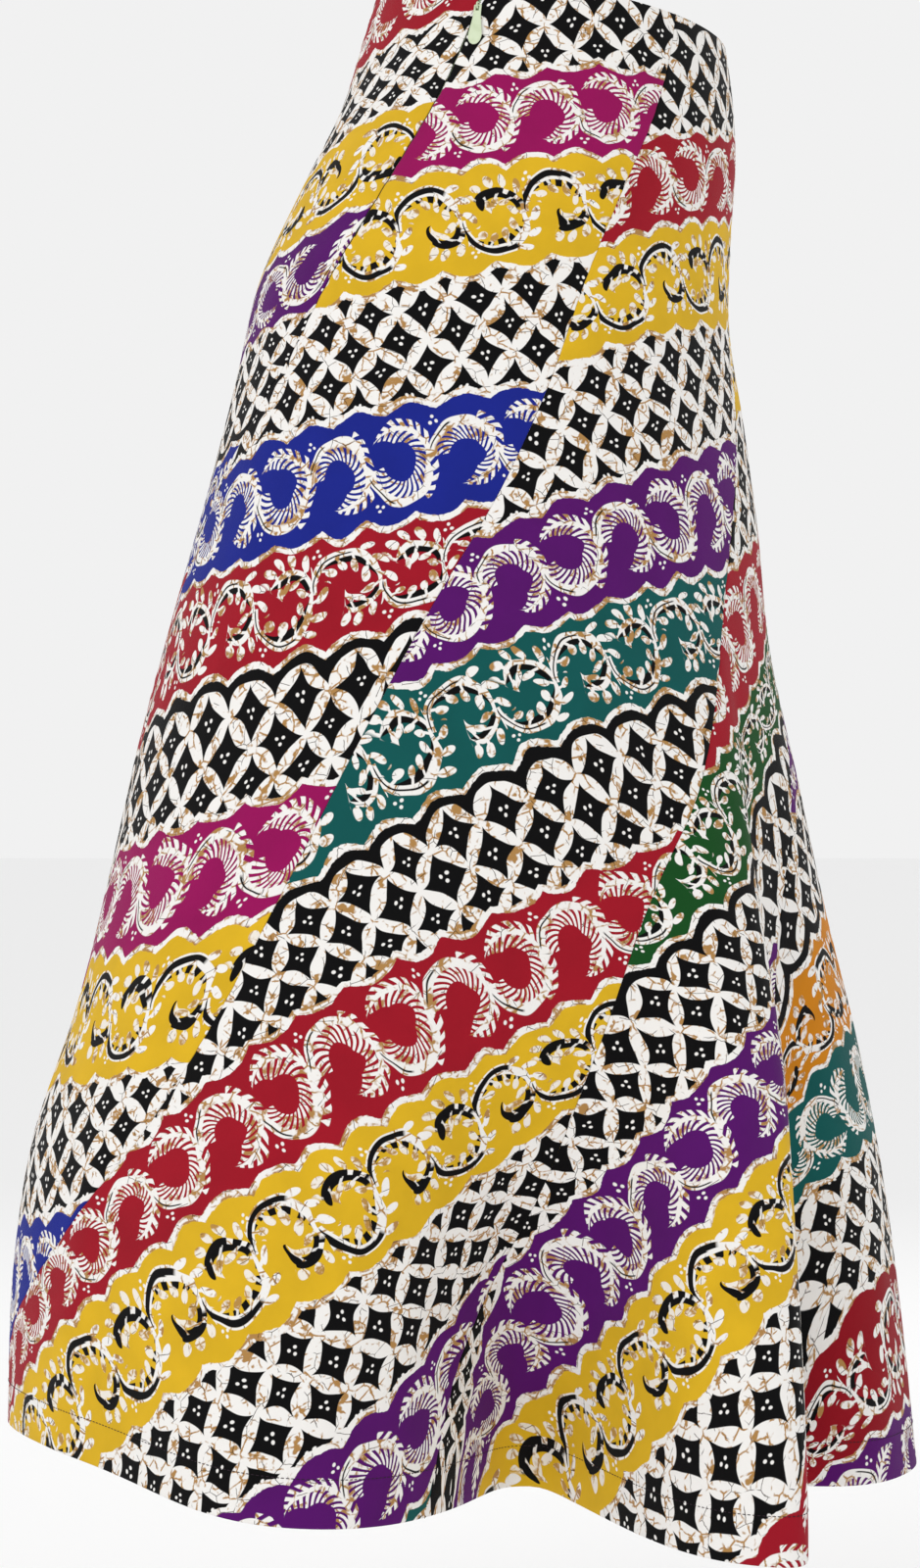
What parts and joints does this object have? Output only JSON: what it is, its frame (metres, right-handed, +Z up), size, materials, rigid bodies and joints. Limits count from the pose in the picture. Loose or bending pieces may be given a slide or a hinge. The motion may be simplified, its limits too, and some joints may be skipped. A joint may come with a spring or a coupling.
{
  "type": "batik skirt",
  "caption": "Long flared swirl skirt of spiral batik gores, hollow as worn, with a concealed side zip and a drop-shaped pull tab.",
  "frame": {"origin": "centre of the waist opening, where the wearer's waist holds the skirt", "axes": "+Z up along the wearer's body, +X towards the wearer's front, -Y towards the wearer's right side, where the zip is"},
  "size_m": [0.5781, 0.6797, 0.9016],
  "materials": {
    "batik_gore_1": "printed plain-weave cotton, red ground, black and white figures",
    "batik_gore_2": "printed plain-weave cotton, magenta ground, black and white figures",
    "batik_gore_3": "printed plain-weave cotton, red and purple ground, black and white figures",
    "batik_gore_4": "printed plain-weave cotton, purple and green ground, black and white figures",
    "batik_gore_5": "printed plain-weave cotton, teal and purple ground, black and white figures",
    "batik_gore_6": "printed plain-weave cotton, yellow ground, black and white figures",
    "zip_tape": "pale green woven tape",
    "zip_coil": "pale green nylon coil",
    "zip_metal": "satin pale green enamel"
  },
  "bodies": {
    "skirt": {"gore_1": "batik_gore_1", "gore_2": "batik_gore_2", "gore_3": "batik_gore_3", "gore_4": "batik_gore_4", "gore_5": "batik_gore_5", "gore_6": "batik_gore_6", "zip_tape_back": "zip_tape", "zip_tape_front": "zip_tape", "zip_coil_back": "zip_coil", "zip_coil_front": "zip_coil", "zip_bottom_stop": "zip_metal", "zip_slider": "zip_metal"},
    "pull_tab": {"zip_pull": "zip_metal"}
  },
  "joints": [
    {"name": "pull_tab_swing", "type": "hinge", "parent": "skirt", "child": "pull_tab", "pos_m": [-0.04742, -0.12089, -0.01152], "axis": [-0.9395, 0.3425, 0], "range_deg": [0, 170]}
  ]
}
